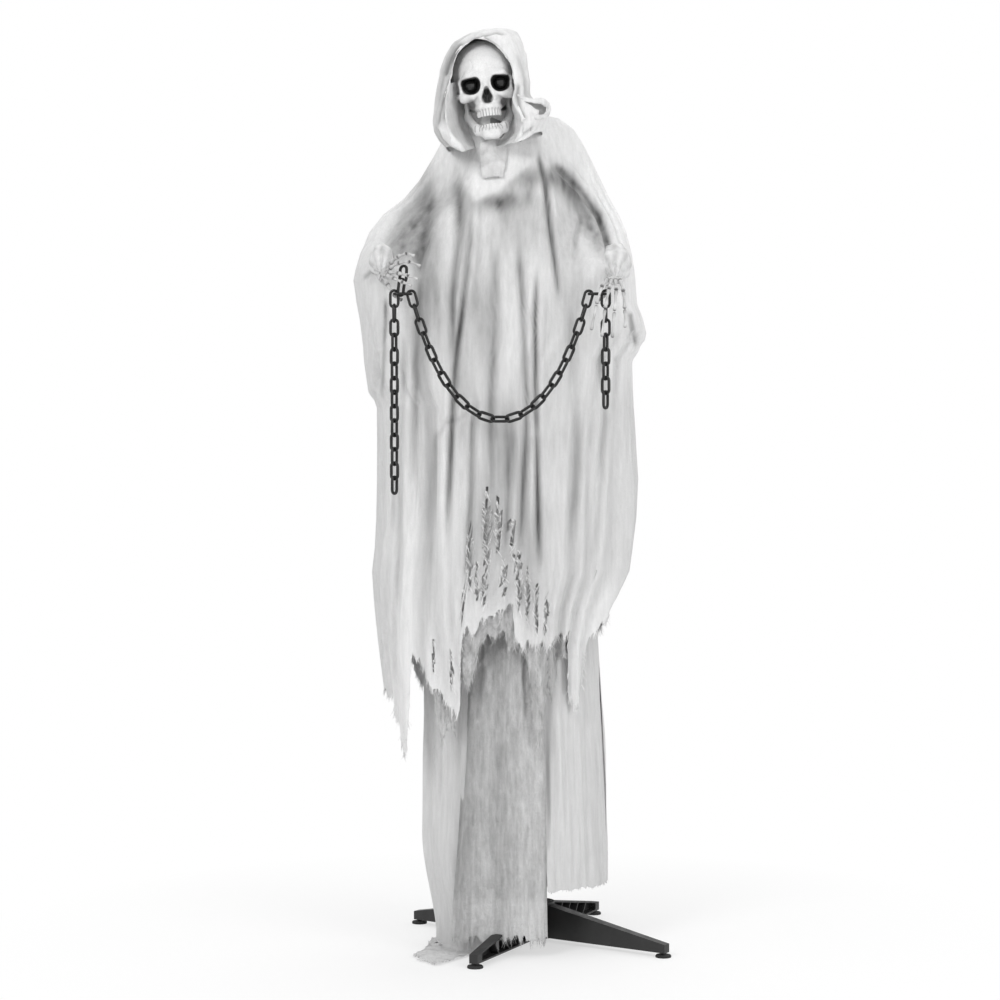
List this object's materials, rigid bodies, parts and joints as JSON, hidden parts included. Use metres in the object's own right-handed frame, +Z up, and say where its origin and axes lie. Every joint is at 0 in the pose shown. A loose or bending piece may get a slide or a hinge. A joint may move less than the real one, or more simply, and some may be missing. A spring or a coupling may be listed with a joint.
{
  "type": "standing ghost figure",
  "caption": "Life-size hooded skeleton ghost in a ragged gauze robe, holding a plastic chain, on a folding cross base with a sectional pole.",
  "frame": {"origin": "on the floor, under the middle of the figure's overall box", "axes": "+Z up, the figure faces -Y, +X to the viewer's right; left and right in names are the viewer's"},
  "size_m": [0.602, 0.5849, 1.7887],
  "materials": {
    "black_plastic": "fine-grained black moulding",
    "black_steel": "black powder coat",
    "grey_plastic": "plain moulding",
    "rubber": "matte",
    "bone_plastic": "off-white moulding with a grey wash",
    "eye_lens": "dark gloss",
    "gauze": "white cotton gauze with grey spray shading",
    "grey_gauze": "coarse grey gauze",
    "foam": "grey foam",
    "chain_plastic": "glossy black moulding"
  },
  "bodies": {
    "stand": {"base_beam_fixed": "black_plastic", "foot_front_right": "rubber", "foot_back_left": "rubber", "hub_collar": "black_plastic", "pole_lower": "black_steel", "pole_middle": "black_steel", "coupler_lower": "black_plastic", "coupler_upper": "black_plastic", "spine_tube": "black_steel", "shoulder_tee": "black_plastic", "shoulder_bar": "black_steel", "neck_gearbox": "grey_plastic", "robe": "gauze", "chest_flap": "gauze", "torso_form": "foam", "waist_hoop": "black_plastic", "skirt_left": "gauze", "skirt_centre": "grey_gauze", "skirt_right": "gauze", "skirt_back": "gauze", "control_box": "black_plastic", "box_cover": "black_plastic", "battery_1": "grey_plastic", "battery_2": "grey_plastic", "battery_3": "grey_plastic", "circuit_board": "grey_plastic", "speaker": "grey_plastic"},
    "folding_beam": {"base_beam_folding": "black_plastic", "foot_front_left": "rubber", "foot_back_right": "rubber"},
    "head": {"skull_face": "bone_plastic", "skull_back": "bone_plastic", "eye_left": "eye_lens", "eye_right": "eye_lens", "eye_plate": "grey_plastic", "neck_shaft": "black_steel", "jaw_motor": "grey_plastic", "hood": "gauze"},
    "jaw": {"jaw": "bone_plastic"},
    "left_arm": {"left_upper_arm": "black_plastic", "left_forearm": "black_steel", "left_hand": "bone_plastic", "left_grip_link": "chain_plastic", "left_sleeve": "gauze"},
    "right_arm": {"right_upper_arm": "black_plastic", "right_forearm": "black_steel", "right_hand": "bone_plastic", "right_grip_link": "chain_plastic", "right_sleeve": "gauze"},
    "swag": {"chain_swag": "chain_plastic"},
    "left_drop_upper": {"chain_left_upper": "chain_plastic"},
    "left_drop_lower": {"chain_left_lower": "chain_plastic"},
    "right_drop": {"chain_right": "chain_plastic"},
    "door": {"battery_door": "black_plastic"},
    "button": {"test_button": "grey_plastic"},
    "switch": {"power_switch": "grey_plastic"}
  },
  "joints": [
    {"name": "base_fold", "type": "hinge", "parent": "stand", "child": "folding_beam", "pos_m": [0.0498, 0, 0.03], "axis": [0, 0, 1], "range_deg": [0, 32]},
    {"name": "head_turn", "type": "hinge", "parent": "stand", "child": "head", "pos_m": [-0.0436, -0.066, 1.62], "axis": [0, 0, 1], "range_deg": [-18, 13], "deforming": ["hood"]},
    {"name": "jaw_open", "type": "hinge", "parent": "head", "child": "jaw", "pos_m": [-0.05155, -0.1, 1.67872], "axis": [0.9925, 0, 0.1219], "range_deg": [-10, 0]},
    {"name": "left_arm_lift", "type": "hinge", "parent": "stand", "child": "left_arm", "pos_m": [-0.0056, -0.02, 1.598], "axis": [-1, 0, 0], "range_deg": [-5, 12], "deforming": ["left_sleeve"]},
    {"name": "right_arm_lift", "type": "hinge", "parent": "stand", "child": "right_arm", "pos_m": [-0.0056, -0.02, 1.598], "axis": [-1, 0, 0], "range_deg": [-5, 12], "deforming": ["right_sleeve"]},
    {"name": "swag_swing", "type": "hinge", "parent": "left_arm", "child": "swag", "pos_m": [-0.0256, -0.262, 1.284], "axis": [1, 0, 0], "range_deg": [-6, 8]},
    {"name": "left_drop_swing", "type": "hinge", "parent": "left_arm", "child": "left_drop_upper", "pos_m": [-0.22605, -0.262, 1.284], "axis": [1, 0, 0], "range_deg": [-15, 15]},
    {"name": "left_lower_swing", "type": "hinge", "parent": "left_drop_upper", "child": "left_drop_lower", "pos_m": [-0.22605, -0.262, 1.0947], "axis": [1, 0, 0], "range_deg": [-15, 15]},
    {"name": "right_drop_swing", "type": "hinge", "parent": "right_arm", "child": "right_drop", "pos_m": [0.17485, -0.262, 1.284], "axis": [1, 0, 0], "range_deg": [-7, 15]},
    {"name": "battery_door_slide", "type": "slide", "parent": "stand", "child": "door", "axis": [0, 0, -1], "range_m": [0, 0.012]},
    {"name": "test_button_press", "type": "slide", "parent": "stand", "child": "button", "axis": [0, -1, 0], "range_m": [0, 0.0012], "stiffness_N_per_m": 200},
    {"name": "power_switch_slide", "type": "slide", "parent": "stand", "child": "switch", "axis": [0, 0, 1], "range_m": [0, 0.006]}
  ],
  "couplings": [
    {"joint": "right_arm_lift", "follows": "left_arm_lift", "ratio": 1}
  ]
}
